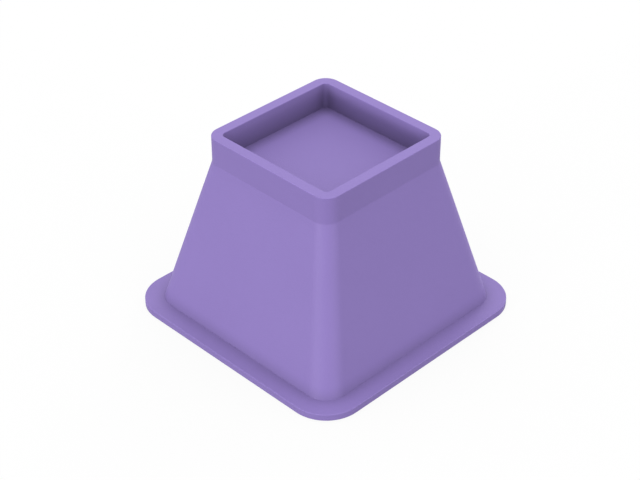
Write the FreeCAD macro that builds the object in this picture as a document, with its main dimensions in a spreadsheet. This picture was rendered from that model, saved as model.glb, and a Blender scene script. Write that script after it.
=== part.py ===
"""Bed riser: a one-piece moulded foot that stands under a bed's leg and lifts it.

A thin square flange spreads the load on the floor. A hollow tapered body with round corners
rises from it to a straight collar, whose square recess holds the end of the leg. The body is
open below, where two crossed ribs carry the deck under the recess.

Sizes are in millimetres. The origin is on the floor under the middle of the recess, +Z is up,
and X and Y lie square to the flange's sides.
"""

import FreeCAD
import Part
import Sketcher
import math
import os

# Driving dimensions, one spreadsheet cell each
DIMENSIONS = {
    # Flange on the floor: how far it stands out round the body, its height and corner radius
    "flange_reach": 8.5,
    "flange_thickness": 3.1,
    "flange_corner_radius": 17.7,
    # Tapered body where it stands on the flange
    "foot_width": 110.0,
    "foot_corner_radius": 10.4,
    # Recess for the bed's leg: its side, depth, corner radius and height of its floor
    "recess_width": 63.5,
    "recess_depth": 12.5,
    "recess_corner_radius": 2.1,
    "lift_height": 76.2,
    # Collar round the recess: the body tapers up to its outside
    "collar_wall": 4.95,
    "collar_height": 12.7,
    "collar_corner_radius": 7.0,
    # Hollow underside: wall of the tapered body measured level, deck under the recess, corners
    "body_wall": 4.0,
    "deck_thickness": 5.0,
    "hollow_corner_radius": 5.0,
    # Ribs: gap to the floor, thickness at the free edge and at the deck, radius where they join
    "rib_setback": 2.0,
    "rib_edge_thickness": 3.0,
    "rib_root_thickness": 4.2,
    "rib_fillet_radius": 1.5,
    # Moulded edges: both edges of the rim and the flange's upper edge
    "edge_radius": 0.3,
}

# Sizes that follow from the driving ones, as the sketches and features are bound to them
FLANGE_WIDTH = "(Dimensions.foot_width + 2 * Dimensions.flange_reach)"
COLLAR_WIDTH = "(Dimensions.recess_width + 2 * Dimensions.collar_wall)"
TOP_HEIGHT = "(Dimensions.lift_height + Dimensions.recess_depth)"
COLLAR_BASE = f"({TOP_HEIGHT} - Dimensions.collar_height)"
ROOF_HEIGHT = "(Dimensions.lift_height - Dimensions.deck_thickness)"
DECK_MIDDLE = "(Dimensions.lift_height - Dimensions.deck_thickness / 2)"
FLOOR_HEIGHT = "0"
TAPER = f"((Dimensions.foot_width - {COLLAR_WIDTH}) / ({COLLAR_BASE} - Dimensions.flange_thickness))"

# The ribs cross square under the middle of the deck
RIB_COUNT = 2
RIB_ANGLE = 90

# Heights closer than this are the same level
LEVEL_TOLERANCE = 1e-4

# Sketches are drawn roughly at this size, and their constraints then set the real one
ROUGH_HALF_SIDE = 40.0
ROUGH_RADIUS = 6.0

# Sketcher's numbers for a curve's points and for the sketch's origin
START, END, CENTRE = 1, 2, 3
ORIGIN = (-1, 1)


def body_width_at(height):
    """The tapered body's outer width at a height, as an expression."""
    return f"(Dimensions.foot_width - ({height} - Dimensions.flange_thickness) * {TAPER})"


def hollow_width_at(height):
    """The width of the hollow inside the tapered body at a height, as an expression."""
    return f"({body_width_at(height)} - 2 * Dimensions.body_wall)"


def rib_length_at(height):
    """A rib's length at a height: it ends in the middle of the body's wall."""
    return f"({body_width_at(height)} - Dimensions.body_wall)"


def make_sheet(doc):
    """The spreadsheet of driving dimensions."""
    sheet = doc.addObject("Spreadsheet::Sheet", "Dimensions")
    for row, (name, size) in enumerate(DIMENSIONS.items(), start=1):
        sheet.set(f"A{row}", name)
        sheet.set(f"B{row}", str(size))
        sheet.setAlias(f"B{row}", name)
    doc.recompute()


def origin_feature(body, role):
    """One of a body's own origin planes or axes."""
    return next(item for item in body.Origin.OriginFeatures if item.Role == role)


def level_sketch(body, name, height):
    """An empty sketch parallel to the floor, at a height given as an expression."""
    sketch = body.newObject("Sketcher::SketchObject", name)
    sketch.AttachmentSupport = (origin_feature(body, "XY_Plane"), [""])
    sketch.MapMode = "FlatFace"
    sketch.setExpression(".AttachmentOffset.Base.z", height)
    return sketch


def bind(sketch, name, expression, *constraint):
    """Adds a named dimension to a sketch and binds it to an expression."""
    index = sketch.addConstraint(Sketcher.Constraint(*constraint))
    sketch.renameConstraint(index, name)
    sketch.setExpression(f"Constraints.{name}", expression)


def rounded_square(body, name, height, width, radius):
    """A square with round corners, centred on the axis, in a sketch at a height."""
    sketch = level_sketch(body, name, height)
    side = ROUGH_HALF_SIDE
    straight = side - ROUGH_RADIUS
    centres = [(straight, -straight), (straight, straight), (-straight, straight), (-straight, -straight)]
    ends = [(side, -straight), (straight, side), (-side, straight), (-straight, -side)]
    starts = [(straight, -side), (side, straight), (-straight, side), (-side, -straight)]
    arcs = []
    for quarter, (x, y) in enumerate(centres):
        circle = Part.Circle(FreeCAD.Vector(x, y, 0), FreeCAD.Vector(0, 0, 1), ROUGH_RADIUS)
        turned = (quarter - 1) * math.pi / 2
        arcs.append(sketch.addGeometry(Part.ArcOfCircle(circle, turned, turned + math.pi / 2)))
    lines = []
    for quarter, (x, y) in enumerate(ends):
        next_x, next_y = starts[(quarter + 1) % 4]
        segment = Part.LineSegment(FreeCAD.Vector(x, y, 0), FreeCAD.Vector(next_x, next_y, 0))
        lines.append(sketch.addGeometry(segment))
    for quarter, line in enumerate(lines):
        sketch.addConstraint(Sketcher.Constraint("Tangent", arcs[quarter], END, line, START))
        sketch.addConstraint(Sketcher.Constraint("Tangent", line, END, arcs[(quarter + 1) % 4], START))
        direction = "Vertical" if quarter % 2 == 0 else "Horizontal"
        sketch.addConstraint(Sketcher.Constraint(direction, line))
    for arc in arcs[1:]:
        sketch.addConstraint(Sketcher.Constraint("Equal", arcs[0], arc))
    sketch.addConstraint(Sketcher.Constraint("Equal", lines[0], lines[1]))
    sketch.addConstraint(Sketcher.Constraint("Symmetric", arcs[0], CENTRE, arcs[2], CENTRE, *ORIGIN))
    bind(sketch, "width", width, "DistanceX", lines[2], START, lines[0], START, 2 * side)
    bind(sketch, "radius", radius, "Radius", arcs[0], ROUGH_RADIUS)
    return sketch


def add_pad(body, name, sketch, length):
    """A sketch raised straight up by a length given as an expression."""
    pad = body.newObject("PartDesign::Pad", name)
    pad.Profile = sketch
    pad.setExpression("Length", length)


def add_loft(body, name, low_sketch, high_sketch):
    """A straight-sided loft from one sketch up to another."""
    loft = body.newObject("PartDesign::AdditiveLoft", name)
    loft.Profile = low_sketch
    loft.Sections = [high_sketch]
    loft.Ruled = True


def add_wedge(body, kind, name, low, high):
    """A block that tapers from a lower level rectangle to an upper one, added or cut away.

    Each rectangle is its height, its side along X and its side along Y, as expressions.
    """
    wedge = body.newObject(f"PartDesign::{kind}", name)
    wedge.AttachmentSupport = (origin_feature(body, "XZ_Plane"), [""])
    wedge.MapMode = "FlatFace"
    for level, end, (height, length, width) in (("Ymin", "", low), ("Ymax", "2", high)):
        wedge.setExpression(level, height)
        for limit, sign in (("min", "-"), ("max", "")):
            wedge.setExpression(f"X{end}{limit}", f"{sign}{length} / 2")
            wedge.setExpression(f"Z{end}{limit}", f"{sign}{width} / 2")
    return wedge


def add_fillet(body, name, base, edges, radius):
    """Edges of the last feature rounded to a radius given as an expression."""
    fillet = body.newObject("PartDesign::Fillet", name)
    fillet.Base = (base, edges)
    fillet.setExpression("Radius", radius)
    body.Document.recompute()
    return fillet


def height_of(sketch):
    """The height at which a sketch lies."""
    return sketch.Placement.Base.z


def same_level(one, other):
    return abs(one - other) < LEVEL_TOLERANCE


def level_edges(shape, height, reached):
    """Names of the edges at a height that bound a wall which starts or ends at the height reached."""
    names = []
    for number, edge in enumerate(shape.Edges, start=1):
        span = edge.BoundBox
        if not (same_level(span.ZMin, height) and same_level(span.ZMax, height)):
            continue
        walls = [face.BoundBox for face in shape.ancestorsOfType(edge, Part.Face)]
        if any(same_level(wall.ZMin, reached) or same_level(wall.ZMax, reached) for wall in walls):
            names.append(f"Edge{number}")
    return names


def rising_edges(shape, low, high):
    """Names of the edges that run from one height up to another."""
    names = []
    for number, edge in enumerate(shape.Edges, start=1):
        span = edge.BoundBox
        if same_level(span.ZMin, low) and same_level(span.ZMax, high):
            names.append(f"Edge{number}")
    return names


def add_outer_form(body):
    """Flange, tapered body and collar."""
    flange_sketch = rounded_square(
        body, "FlangeOutline", FLOOR_HEIGHT, FLANGE_WIDTH, "Dimensions.flange_corner_radius"
    )
    add_pad(body, "Flange", flange_sketch, "Dimensions.flange_thickness")
    foot_sketch = rounded_square(
        body,
        "FootOutline",
        "Dimensions.flange_thickness",
        "Dimensions.foot_width",
        "Dimensions.foot_corner_radius",
    )
    shoulder_sketch = rounded_square(
        body, "ShoulderOutline", COLLAR_BASE, COLLAR_WIDTH, "Dimensions.collar_corner_radius"
    )
    add_loft(body, "TaperedBody", foot_sketch, shoulder_sketch)
    add_pad(body, "Collar", shoulder_sketch, "Dimensions.collar_height")


def add_recess(body):
    """The recess for the bed's leg, cut down from the rim."""
    sketch = rounded_square(
        body, "RecessOutline", TOP_HEIGHT, "Dimensions.recess_width", "Dimensions.recess_corner_radius"
    )
    recess = body.newObject("PartDesign::Pocket", "Recess")
    recess.Profile = sketch
    recess.Reversed = False
    recess.setExpression("Length", "Dimensions.recess_depth")


def add_hollow(body):
    """The open hollow below the deck, with walls parallel to the tapered body's."""
    mouth_width = hollow_width_at(FLOOR_HEIGHT)
    roof_width = hollow_width_at(ROOF_HEIGHT)
    mouth = (FLOOR_HEIGHT, mouth_width, mouth_width)
    roof = (ROOF_HEIGHT, roof_width, roof_width)
    hollow = add_wedge(body, "SubtractiveWedge", "Hollow", mouth, roof)
    body.Document.recompute()
    corners = rising_edges(hollow.Shape, hollow.Ymin.Value, hollow.Ymax.Value)
    add_fillet(body, "HollowCorners", hollow, corners, "Dimensions.hollow_corner_radius")


def add_ribs(body):
    """Two crossed ribs under the deck, thicker at the deck so that they leave the mould."""
    edge_height = "Dimensions.rib_setback"
    edge = (edge_height, rib_length_at(edge_height), "Dimensions.rib_edge_thickness")
    root = (DECK_MIDDLE, rib_length_at(DECK_MIDDLE), "Dimensions.rib_root_thickness")
    rib = add_wedge(body, "AdditiveWedge", "Rib", edge, root)
    cross = body.newObject("PartDesign::PolarPattern", "RibCross")
    cross.Originals = [rib]
    cross.Axis = (origin_feature(body, "Z_Axis"), [""])
    cross.Occurrences = RIB_COUNT
    cross.Angle = RIB_ANGLE
    body.Tip = cross
    body.Document.recompute()
    rib_edge = rib.Ymin.Value
    roof = body.Document.Hollow.Ymax.Value
    joins = rising_edges(cross.Shape, rib_edge, roof)
    return add_fillet(body, "RibFillets", cross, joins, "Dimensions.rib_fillet_radius")


def add_edge_radii(body, base):
    """Small radii on both edges of the rim and on the flange's upper edge."""
    doc = body.Document
    floor = height_of(doc.FlangeOutline)
    flange_top = height_of(doc.FootOutline)
    collar_base = height_of(doc.ShoulderOutline)
    rim = height_of(doc.RecessOutline)
    seat = rim - doc.Recess.Length.Value
    edges = level_edges(base.Shape, rim, collar_base)
    edges += level_edges(base.Shape, rim, seat)
    edges += level_edges(base.Shape, flange_top, floor)
    add_fillet(body, "MouldedEdges", base, edges, "Dimensions.edge_radius")


def make_riser(doc):
    """The whole riser as one body."""
    body = doc.addObject("PartDesign::Body", "Riser")
    body.Label = "riser"
    body.Placement = FreeCAD.Placement()
    add_outer_form(body)
    add_recess(body)
    add_hollow(body)
    ribbed = add_ribs(body)
    add_edge_radii(body, ribbed)
    return body


def check_document(doc, parts):
    """Stops before anything is written if an object failed or a cut removed nothing."""
    for item in doc.Objects:
        if "Invalid" in item.State or "Error" in item.State:
            raise RuntimeError(f"{item.Name} failed: {item.State}")
    for cut in (doc.Recess, doc.Hollow):
        if not cut.Shape.Volume < cut.BaseFeature.Shape.Volume:
            raise RuntimeError(f"{cut.Name} removed nothing")
    for part in parts:
        if part.Shape.isNull() or not part.Shape.isValid():
            raise RuntimeError(f"{part.Label} has no valid shape")


def main():
    doc = FreeCAD.newDocument("BedRiser")
    make_sheet(doc)
    parts = [make_riser(doc)]
    doc.recompute()
    check_document(doc, parts)
    os.makedirs("parts", exist_ok=True)
    for part in parts:
        part.Shape.exportStep(f"parts/{part.Label}.step")


main()
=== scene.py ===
"""Looks of the bed riser: lavender moulded plastic in soft studio light on a white ground.

Lengths are in metres, in the part's own frame: the origin is on the floor under the middle of
the recess, and +Z is up. Azimuth 0 looks along +Y, and 90 along -X.
"""

import math

import bpy
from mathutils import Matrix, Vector

# Camera: off the riser's front corner, looking down at the isometric angle
IMAGE_WIDTH_PIXELS = 640
FOCAL_LENGTH_PIXELS = 1589
SENSOR_WIDTH_MM = 36.0
CAMERA_AZIMUTH = math.radians(45)
CAMERA_ELEVATION = math.atan(math.sqrt(0.5))
CAMERA_DISTANCE = 0.728
CAMERA_SHIFT_RIGHT = -0.0026
CAMERA_SHIFT_UP = 0.02755

# Light from all round and from lamps, at levels where the open ground adds up to plain white
AMBIENT_LEVEL = 0.70
LAMPS = {
    # Name: level, and spread, azimuth and elevation in degrees
    "overhead": (0.26, 60, 0, 90),
    "left": (0.335, 6, 0, 3),
    "right": (0.15, 6, 90, 3),
    "back": (0.25, 20, 200, 5),
}

# White ground: its side, how much of it takes the shadow, and the light that it throws back
GROUND_SIDE = 8.0
SHADOW_SHARE = 0.15
GROUND_BOUNCE = (0.2, 0.2, 0.2, 1)
WHITE = (1, 1, 1, 1)

# Lavender plastic: two near tones and the blotches they drift in, the mould's grain, and how satin it is
LAVENDER_LIGHT = (0.307, 0.219, 0.590, 1)
LAVENDER_DEEP = (0.291, 0.207, 0.562, 1)
TONE_SIZE = 0.03
TONE_DETAIL = 3
GRAIN_SIZE = 0.0006
GRAIN_DETAIL = 2
GRAIN_DEPTH = 0.00008
ROUGHNESS_RANGE = (0.5, 0.72)

# Painted shade in creases, where faces meet at an inner edge: the shade's colour, and how far out it
# fades
PAINTED_CREASE_SHADE = (0.120, 0.085, 0.230, 1)
PAINTED_SHADE_REACH = 0.007

# Light that the plastic throws on its own faces is dim and neutral, so that the recess stays shaded
BOUNCED_TINT = (0.12, 0.12, 0.12, 1)


def direction(azimuth, elevation):
    """The unit vector from the object towards a viewer or a lamp."""
    level = math.cos(elevation)
    return Vector((math.sin(azimuth) * level, -math.cos(azimuth) * level, math.sin(elevation)))


def add_object(name, data):
    """A new object in the scene."""
    made = bpy.data.objects.new(name, data)
    bpy.context.scene.collection.objects.link(made)
    return made


def add_camera():
    """The scene's camera, at the photograph's angle and framing."""
    back = direction(CAMERA_AZIMUTH, CAMERA_ELEVATION)
    right = Vector((math.cos(CAMERA_AZIMUTH), math.sin(CAMERA_AZIMUTH), 0))
    up = back.cross(right)
    lens = bpy.data.cameras.new("camera")
    lens.sensor_width = SENSOR_WIDTH_MM
    lens.lens = SENSOR_WIDTH_MM * FOCAL_LENGTH_PIXELS / IMAGE_WIDTH_PIXELS
    camera = add_object("camera", lens)
    camera.location = back * CAMERA_DISTANCE + right * CAMERA_SHIFT_RIGHT + up * CAMERA_SHIFT_UP
    camera.rotation_euler = (-back).to_track_quat("-Z", "Y").to_euler()
    bpy.context.scene.camera = camera


def add_lamp(name, level, spread, azimuth, elevation):
    """A lamp far away, with angles in degrees. At level 1 it lights a white face turned to it white."""
    lamp = bpy.data.lights.new(name, "SUN")
    lamp.energy = level * math.pi
    lamp.angle = math.radians(spread)
    holder = add_object(name, lamp)
    towards = direction(math.radians(azimuth), math.radians(elevation))
    holder.rotation_euler = (-towards).to_track_quat("-Z", "Y").to_euler()


def link(tree, source, target):
    """Join one node's output to another's input."""
    tree.links.new(source, target)


def larger(tree, first, second):
    """The larger of two numbers."""
    pick = tree.nodes.new("ShaderNodeMath")
    pick.operation = "MAXIMUM"
    link(tree, first, pick.inputs[0])
    link(tree, second, pick.inputs[1])
    return pick.outputs[0]


def seen_directly(tree):
    """1 for what the camera sees, straight, reflected or through glass, and 0 for light on things."""
    path = tree.nodes.new("ShaderNodeLightPath").outputs
    straight_or_reflected = larger(tree, path["Is Camera Ray"], path["Is Glossy Ray"])
    return larger(tree, straight_or_reflected, path["Is Transmission Ray"])


def plain_shader(tree, kind, colour):
    """A shader of one colour."""
    shader = tree.nodes.new(kind)
    shader.inputs["Color"].default_value = colour
    return shader


def shader_mix(tree, first, second):
    """A mix of two shaders: the first at a factor of 0, and the second at 1."""
    mix = tree.nodes.new("ShaderNodeMixShader")
    link(tree, first.outputs[0], mix.inputs[1])
    link(tree, second.outputs[0], mix.inputs[2])
    return mix


def add_world():
    """Even light from all round, and a white backdrop past the ground's edge."""
    world = bpy.data.worlds.new("studio")
    bpy.context.scene.world = world
    world.use_nodes = True
    tree = world.node_tree
    tree.nodes.clear()
    light = plain_shader(tree, "ShaderNodeBackground", WHITE)
    light.inputs["Strength"].default_value = AMBIENT_LEVEL
    backdrop = plain_shader(tree, "ShaderNodeBackground", WHITE)
    either = shader_mix(tree, light, backdrop)
    link(tree, seen_directly(tree), either.inputs["Fac"])
    output = tree.nodes.new("ShaderNodeOutputWorld")
    link(tree, either.outputs[0], output.inputs["Surface"])


def ground_material():
    """White where it is seen, with a faint shadow, and a plain grey for the light it throws back."""
    material = bpy.data.materials.new("white_ground")
    material.use_nodes = True
    tree = material.node_tree
    tree.nodes.clear()
    bounce = plain_shader(tree, "ShaderNodeBsdfDiffuse", GROUND_BOUNCE)
    glow = plain_shader(tree, "ShaderNodeEmission", WHITE)
    shaded = plain_shader(tree, "ShaderNodeBsdfDiffuse", WHITE)
    seen = shader_mix(tree, glow, shaded)
    seen.inputs["Fac"].default_value = SHADOW_SHARE
    either = shader_mix(tree, bounce, seen)
    link(tree, seen_directly(tree), either.inputs["Fac"])
    output = tree.nodes.new("ShaderNodeOutputMaterial")
    link(tree, either.outputs[0], output.inputs["Surface"])
    return material


def add_ground():
    """The white ground under the riser."""
    half = GROUND_SIDE / 2
    corners = [(-half, -half, 0), (half, -half, 0), (half, half, 0), (-half, half, 0)]
    mesh = bpy.data.meshes.new("ground")
    mesh.from_pydata(corners, [], [(0, 1, 2, 3)])
    mesh.materials.append(ground_material())
    add_object("ground", mesh)


def noise(tree, place, size, detail):
    """A noise texture whose blotches are about a size across, with some finer layers in them."""
    texture = tree.nodes.new("ShaderNodeTexNoise")
    texture.inputs["Scale"].default_value = 1 / size
    texture.inputs["Detail"].default_value = detail
    link(tree, place, texture.inputs["Vector"])
    return texture.outputs["Fac"]


def colour_mix(tree, factor, first, second):
    """A colour between two, each a plain colour or another node's output."""
    mix = tree.nodes.new("ShaderNodeMix")
    mix.data_type = "RGBA"
    link(tree, factor, mix.inputs["Factor"])
    for name, colour in (("A", first), ("B", second)):
        if isinstance(colour, tuple):
            mix.inputs[name].default_value = colour
        else:
            link(tree, colour, mix.inputs[name])
    return mix.outputs["Result"]


def painted_shade_mask(tree):
    """1 on open faces, and less towards a crease: the mask for the painted crease shade."""
    nearby = tree.nodes.new("ShaderNodeAmbientOcclusion")
    nearby.only_local = True
    nearby.inputs["Distance"].default_value = PAINTED_SHADE_REACH
    return nearby.outputs["AO"]


def plastic_colour(tree, place):
    """Lavender with a slow drift of tone, painted shade in creases, and a neutral bounce between its
    faces.
    """
    blotches = noise(tree, place, TONE_SIZE, TONE_DETAIL)
    drift = colour_mix(tree, blotches, LAVENDER_DEEP, LAVENDER_LIGHT)
    # Painted shade: the tone darkens towards creases
    tone = colour_mix(tree, painted_shade_mask(tree), PAINTED_CREASE_SHADE, drift)
    bounced = tree.nodes.new("ShaderNodeLightPath").outputs["Is Diffuse Ray"]
    return colour_mix(tree, bounced, tone, BOUNCED_TINT)


def plastic_roughness(tree, grain):
    """Satin that is a little smoother on the grain's low spots."""
    satin = tree.nodes.new("ShaderNodeMapRange")
    satin.inputs["To Min"].default_value, satin.inputs["To Max"].default_value = ROUGHNESS_RANGE
    link(tree, grain, satin.inputs["Value"])
    return satin.outputs["Result"]


def plastic_relief(tree, grain):
    """The fine grain that a mould leaves."""
    bump = tree.nodes.new("ShaderNodeBump")
    bump.inputs["Distance"].default_value = GRAIN_DEPTH
    link(tree, grain, bump.inputs["Height"])
    return bump.outputs["Normal"]


def moulded_plastic():
    """Satin lavender plastic."""
    material = bpy.data.materials.new("lavender_plastic")
    material.use_nodes = True
    tree = material.node_tree
    shader = tree.nodes["Principled BSDF"]
    place = tree.nodes.new("ShaderNodeTexCoord").outputs["Object"]
    grain = noise(tree, place, GRAIN_SIZE, GRAIN_DETAIL)
    link(tree, plastic_colour(tree, place), shader.inputs["Base Color"])
    link(tree, plastic_roughness(tree, grain), shader.inputs["Roughness"])
    link(tree, plastic_relief(tree, grain), shader.inputs["Normal"])
    return material


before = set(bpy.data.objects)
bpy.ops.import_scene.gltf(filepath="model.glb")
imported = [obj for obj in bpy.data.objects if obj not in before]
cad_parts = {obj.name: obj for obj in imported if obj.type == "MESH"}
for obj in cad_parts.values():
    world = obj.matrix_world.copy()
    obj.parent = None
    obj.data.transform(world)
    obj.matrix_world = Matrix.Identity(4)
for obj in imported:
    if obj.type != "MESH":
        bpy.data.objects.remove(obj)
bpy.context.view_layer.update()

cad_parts["riser"].material_slots[0].material = moulded_plastic()
bpy.context.scene.view_settings.view_transform = "Standard"
add_world()
for lamp_name, lamp_settings in LAMPS.items():
    add_lamp(lamp_name, *lamp_settings)
add_ground()
add_camera()
